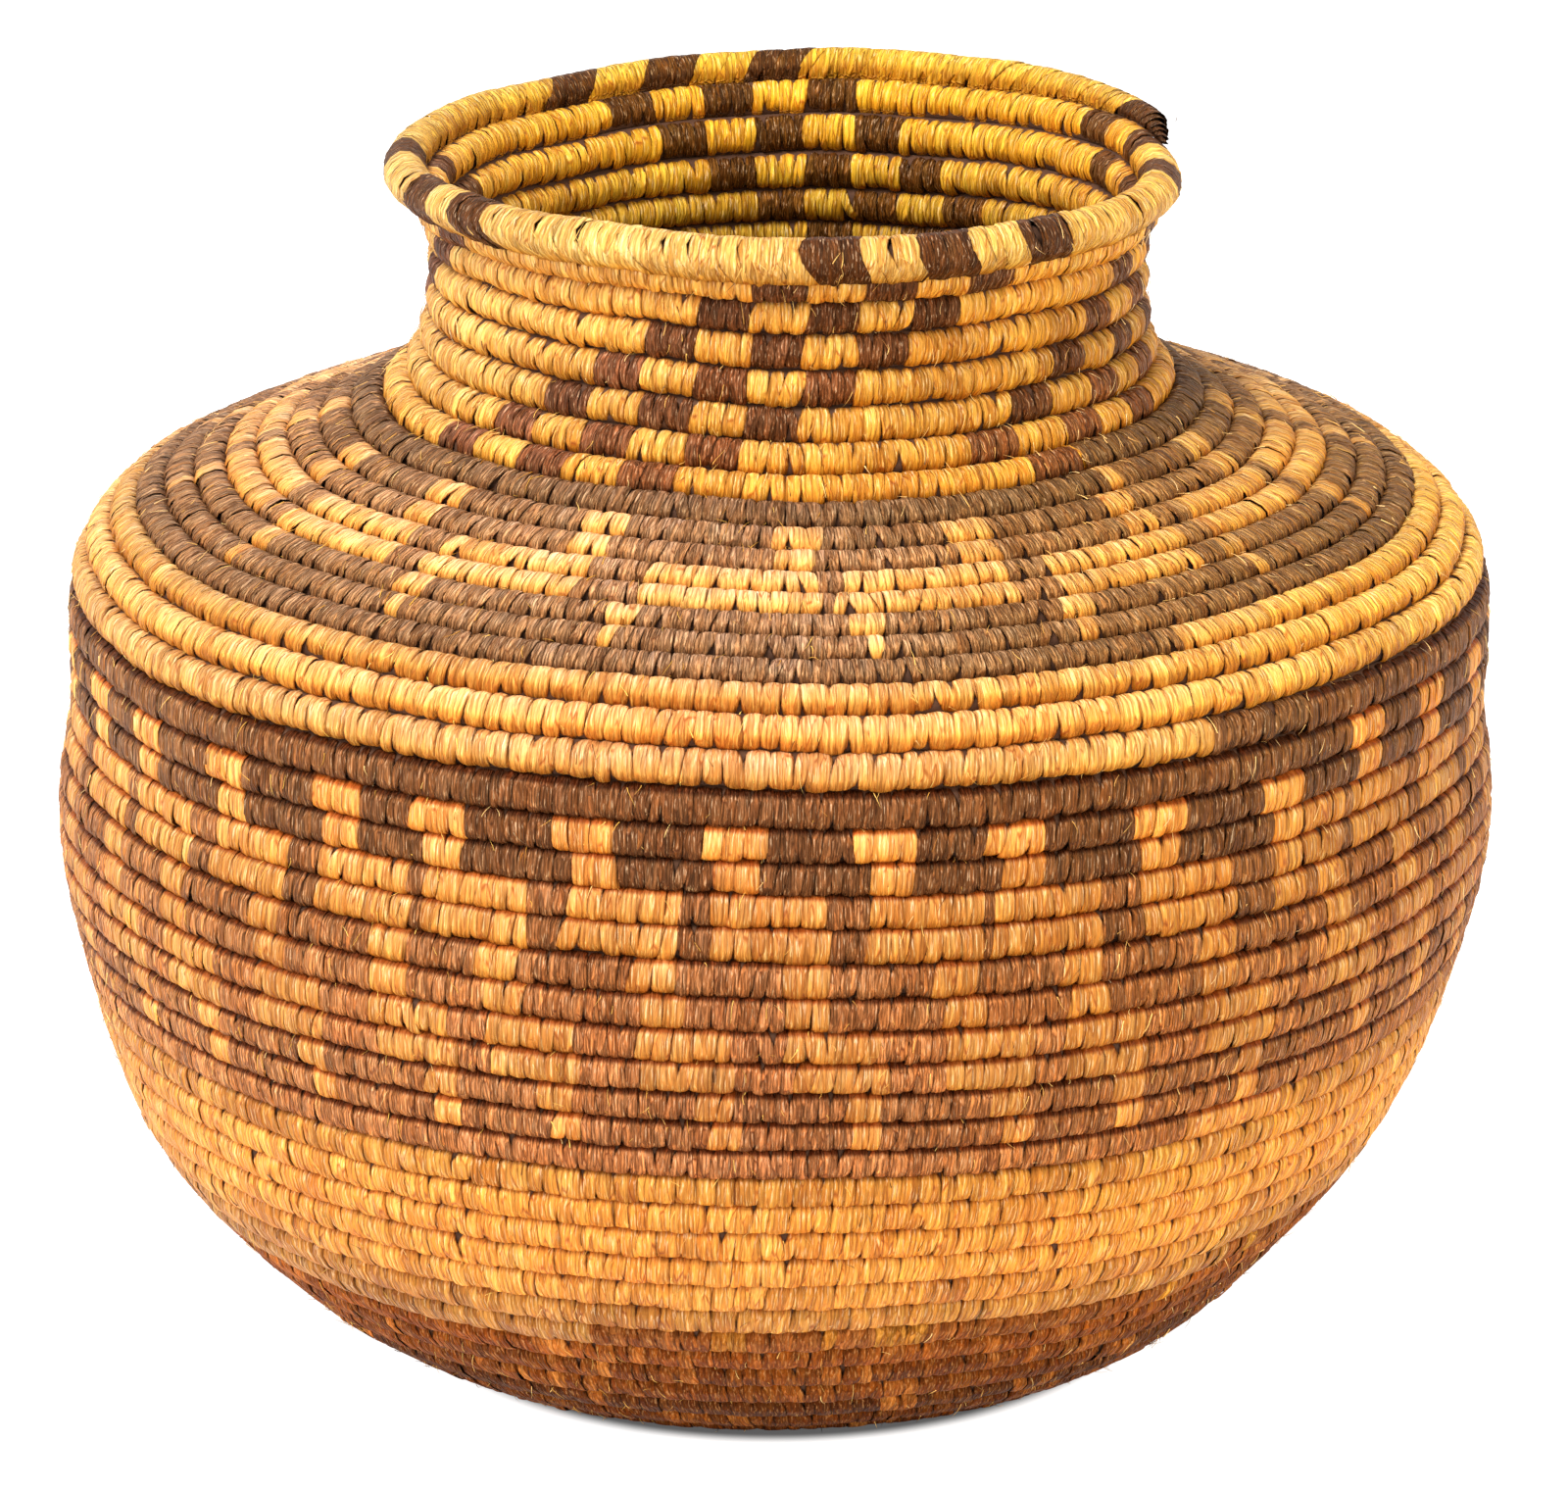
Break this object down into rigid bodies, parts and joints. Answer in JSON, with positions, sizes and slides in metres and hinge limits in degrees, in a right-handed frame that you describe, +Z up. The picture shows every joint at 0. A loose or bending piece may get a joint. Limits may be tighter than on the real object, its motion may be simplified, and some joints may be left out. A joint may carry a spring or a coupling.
{
  "type": "coiled basket jar",
  "caption": "Round coiled basket jar, wide at the shoulder, with a short flared neck, an open mouth and a flat base.",
  "frame": {"origin": "middle of the flat base, on the surface that the jar stands on, under the middle of its widest course", "axes": "+Z up through the mouth, -Y towards the front of the picture's view, +X to the right of it"},
  "size_m": [0.2923, 0.2922, 0.2462],
  "materials": {
    "tan_splint": "matt, fibrous plant splint, golden tan",
    "dark_splint": "matt, fibrous plant splint, dark brown",
    "umber_splint": "matt, fibrous plant splint, worn umber",
    "foundation": "matt bundle of fine grass stems"
  },
  "bodies": {
    "root": {"start_knot": "umber_splint", "base_coil": "umber_splint", "foot_course_1": "umber_splint", "foot_course_2": "umber_splint", "foot_course_3": "umber_splint", "foot_course_4": "umber_splint", "foot_course_5": "umber_splint", "foot_course_6": "umber_splint", "lower_course_1": "tan_splint", "lower_course_2": "tan_splint", "lower_course_3": "tan_splint", "lower_course_4": "tan_splint", "lower_course_5": "tan_splint", "lower_course_6": "tan_splint", "lower_course_7": "tan_splint", "belly_course_1": "dark_splint", "belly_course_2": "dark_splint", "belly_course_3": "dark_splint", "belly_course_4": "dark_splint", "belly_course_5": "dark_splint", "belly_course_6": "dark_splint", "belly_course_7": "dark_splint", "belly_course_8": "dark_splint", "belly_course_9": "dark_splint", "belly_course_10": "dark_splint", "belly_course_11": "dark_splint", "belly_course_12": "dark_splint", "pale_band_course_1": "tan_splint", "pale_band_course_2": "tan_splint", "pale_band_course_3": "tan_splint", "shoulder_course_1": "dark_splint", "shoulder_course_2": "dark_splint", "shoulder_course_3": "dark_splint", "shoulder_course_4": "dark_splint", "shoulder_course_5": "dark_splint", "shoulder_course_6": "dark_splint", "shoulder_course_7": "dark_splint", "shoulder_course_8": "dark_splint", "neck_course_1": "tan_splint", "neck_course_2": "tan_splint", "neck_course_3": "tan_splint", "neck_course_4": "tan_splint", "neck_course_5": "tan_splint", "neck_course_6": "tan_splint", "neck_course_7": "tan_splint", "rim_course": "tan_splint"}
  },
  "joints": []
}
